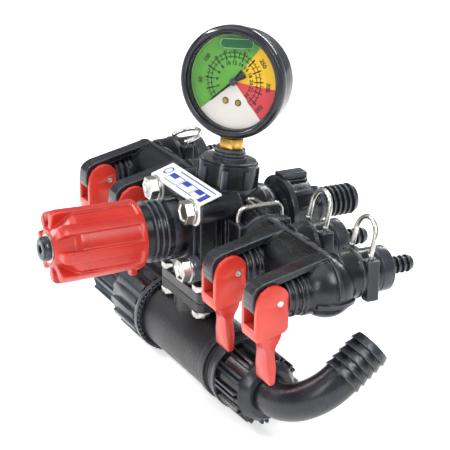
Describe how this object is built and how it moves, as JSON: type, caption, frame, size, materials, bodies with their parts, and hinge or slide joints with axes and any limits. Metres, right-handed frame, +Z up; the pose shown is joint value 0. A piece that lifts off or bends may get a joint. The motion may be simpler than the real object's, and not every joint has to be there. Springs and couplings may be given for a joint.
{
  "type": "sprayer control valve unit",
  "caption": "Manual sprayer control unit with pressure knob, tilting gauge, lever valves on side manifolds, inlet filter and hose tails.",
  "frame": {"origin": "middle of the bracket pad on the back of the body, between its two tapped holes", "axes": "+Z up, +Y out of the back where the bypass and outlet hoses leave, +X to the right of an operator facing the knob"},
  "size_m": [0.2846, 0.2148, 0.2228],
  "materials": {
    "black_nylon": "satin",
    "red_plastic": "gloss",
    "cap_plastic": "satin",
    "zinc": "satin",
    "spring_steel": "polished",
    "brass": "satin",
    "white_plate": "gloss",
    "seal_rubber": "matte",
    "gauge_case": "satin",
    "pointer_black": "matte",
    "gauge_glass": "clear"
  },
  "bodies": {
    "unit": {"main_body": "black_nylon", "regulator_bonnet": "black_nylon", "valve_seat": "brass", "bonnet_bolts": "zinc", "nameplate": "white_plate", "saddle_bolts": "zinc", "saddle_nuts": "zinc", "filter_body": "black_nylon", "filter_ring_nut": "black_nylon", "filter_end_cap": "black_nylon", "filter_cartridge": "spring_steel", "filter_seals": "seal_rubber", "inlet_union_nut": "black_nylon", "inlet_elbow": "black_nylon", "inlet_seal": "seal_rubber", "gauge_union_nut": "black_nylon", "gauge_adapter": "black_nylon", "gauge_stem": "brass", "gauge_case": "gauge_case", "gauge_bezel": "gauge_case", "gauge_lens": "gauge_glass", "gauge_dial": "white_plate", "gauge_dial_screws": "brass", "gauge_tube": "brass", "gauge_movement": "brass", "gauge_fill_plug": "seal_rubber", "bypass_tail": "black_nylon", "bypass_nut": "black_nylon", "bypass_seal": "seal_rubber", "manifold_left": "black_nylon", "manifold_right": "black_nylon", "manifold_clips": "spring_steel", "manifold_seals": "seal_rubber", "outlet_tail_1": "black_nylon", "outlet_tail_2": "black_nylon", "outlet_tail_3": "black_nylon", "outlet_tail_4": "black_nylon", "outlet_clips": "spring_steel", "outlet_seals": "seal_rubber"},
    "screw_feed": {"spring_plate": "zinc", "pressure_spring": "spring_steel"},
    "knob": {"pressure_knob": "red_plastic", "knob_cap": "cap_plastic", "knob_washer": "zinc", "adjusting_screw": "zinc"},
    "piston": {"regulator_piston": "brass", "piston_ring": "seal_rubber"},
    "pointer": {"gauge_pointer": "pointer_black"},
    "plunger_1": {"plunger_1": "brass"},
    "lever_1": {"lever_1": "red_plastic", "lever_pin_1": "zinc"},
    "plunger_2": {"plunger_2": "brass"},
    "lever_2": {"lever_2": "red_plastic", "lever_pin_2": "zinc"},
    "plunger_3": {"plunger_3": "brass"},
    "lever_3": {"lever_3": "red_plastic", "lever_pin_3": "zinc"},
    "plunger_4": {"plunger_4": "brass"},
    "lever_4": {"lever_4": "red_plastic", "lever_pin_4": "zinc"}
  },
  "joints": [
    {"name": "screw_feed", "type": "slide", "parent": "unit", "child": "screw_feed", "axis": [0, 1, 0], "range_m": [0, 0.006], "deforming": ["pressure_spring"]},
    {"name": "knob_turn", "type": "hinge", "parent": "screw_feed", "child": "knob", "pos_m": [0, -0.107, 0.026], "axis": [0, 1, 0], "range_deg": [0, 1080]},
    {"name": "piston_lift", "type": "slide", "parent": "unit", "child": "piston", "axis": [0, -1, 0], "range_m": [0, 0.003], "stiffness_N_per_m": 2000, "springref_m": -0.002},
    {"name": "pointer_turn", "type": "hinge", "parent": "unit", "child": "pointer", "pos_m": [0, -0.01329, 0.11385], "axis": [-0.5976, 0.7961, -0.0949], "range_deg": [0, 270], "stiffness_Nm_per_rad": 0.0002},
    {"name": "plunger_1_slide", "type": "slide", "parent": "unit", "child": "plunger_1", "axis": [0, -1, 0], "range_m": [0, 0.006]},
    {"name": "lever_1_turn", "type": "hinge", "parent": "plunger_1", "child": "lever_1", "pos_m": [-0.11845, -0.0524, 0.0225], "axis": [-1, 0, 0], "range_deg": [0, 90]},
    {"name": "plunger_2_slide", "type": "slide", "parent": "unit", "child": "plunger_2", "axis": [0, -1, 0], "range_m": [0, 0.006]},
    {"name": "lever_2_turn", "type": "hinge", "parent": "plunger_2", "child": "lever_2", "pos_m": [-0.06845, -0.0524, 0.0225], "axis": [-1, 0, 0], "range_deg": [0, 90]},
    {"name": "plunger_3_slide", "type": "slide", "parent": "unit", "child": "plunger_3", "axis": [0, -1, 0], "range_m": [0, 0.006]},
    {"name": "lever_3_turn", "type": "hinge", "parent": "plunger_3", "child": "lever_3", "pos_m": [0.06845, -0.0524, 0.0225], "axis": [-1, 0, 0], "range_deg": [0, 90]},
    {"name": "plunger_4_slide", "type": "slide", "parent": "unit", "child": "plunger_4", "axis": [0, -1, 0], "range_m": [0, 0.006]},
    {"name": "lever_4_turn", "type": "hinge", "parent": "plunger_4", "child": "lever_4", "pos_m": [0.11845, -0.0524, 0.0225], "axis": [-1, 0, 0], "range_deg": [0, 90]}
  ],
  "couplings": [
    {"joint": "screw_feed", "follows": "knob_turn", "m_per_rad": 0.00031831},
    {"joint": "plunger_1_slide", "follows": "lever_1_turn", "m_per_rad": 0.0038197},
    {"joint": "plunger_2_slide", "follows": "lever_2_turn", "m_per_rad": 0.0038197},
    {"joint": "plunger_3_slide", "follows": "lever_3_turn", "m_per_rad": 0.0038197},
    {"joint": "plunger_4_slide", "follows": "lever_4_turn", "m_per_rad": 0.0038197}
  ]
}
